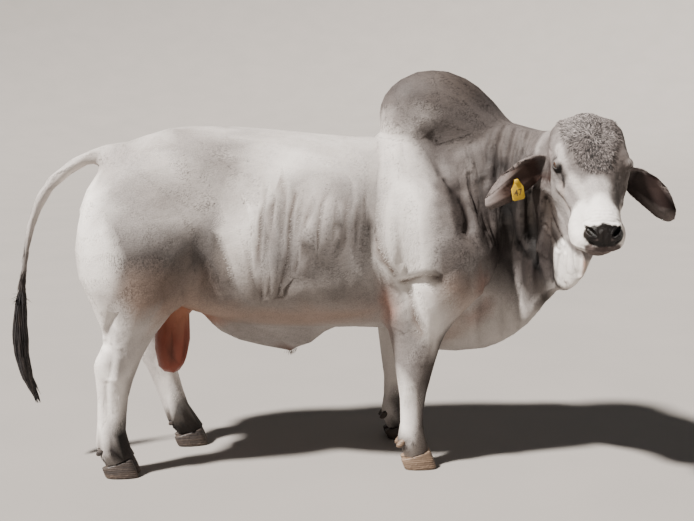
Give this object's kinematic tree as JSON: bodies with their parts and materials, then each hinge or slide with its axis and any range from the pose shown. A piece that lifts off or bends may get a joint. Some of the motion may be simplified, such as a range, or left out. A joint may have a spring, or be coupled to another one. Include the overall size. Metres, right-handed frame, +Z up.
{
  "type": "brahman bull",
  "caption": "Life-size standing zebu bull with a shoulder hump, dewlap, long drooping ears, a turned head and a lifted tail with a dark switch.",
  "frame": {"origin": "on the floor, under the middle of the model's bounding box", "axes": "+X towards the bull's front, +Y towards its left side, +Z up"},
  "size_m": [2.7644, 1.1816, 1.7245],
  "materials": {
    "pale_coat": "short pale hair",
    "grey_coat": "short grey hair",
    "dark_coat": "short dark hair",
    "ear_skin": "soft skin with short hair",
    "bare_skin": "bare skin",
    "switch_hair": "long coarse hair",
    "horn": "satin horn",
    "eye": "wet",
    "tag": "moulded"
  },
  "bodies": {
    "root": {"torso": "pale_coat", "hump": "grey_coat", "neck": "grey_coat", "dewlap": "pale_coat", "head": "grey_coat", "ear_left": "ear_skin", "ear_right": "ear_skin", "eye_left": "eye", "eye_right": "eye", "ear_tag": "tag", "tail": "pale_coat", "tail_switch": "switch_hair", "scrotum": "bare_skin", "sheath": "pale_coat", "hind_right_upper": "pale_coat", "hind_right_lower": "pale_coat", "hind_right_pastern": "dark_coat", "hind_right_claw_left": "horn", "hind_right_claw_right": "horn", "hind_right_dewclaw_left": "horn", "hind_right_dewclaw_right": "horn", "fore_right_upper": "pale_coat", "fore_right_lower": "pale_coat", "fore_right_pastern": "dark_coat", "fore_right_claw_left": "horn", "fore_right_claw_right": "horn", "fore_right_dewclaw_left": "horn", "fore_right_dewclaw_right": "horn", "hind_left_upper": "pale_coat", "hind_left_lower": "pale_coat", "hind_left_pastern": "dark_coat", "hind_left_claw_left": "horn", "hind_left_claw_right": "horn", "hind_left_dewclaw_left": "horn", "hind_left_dewclaw_right": "horn", "fore_left_upper": "pale_coat", "fore_left_lower": "pale_coat", "fore_left_pastern": "dark_coat", "fore_left_claw_left": "horn", "fore_left_claw_right": "horn", "fore_left_dewclaw_left": "horn", "fore_left_dewclaw_right": "horn"}
  },
  "joints": []
}
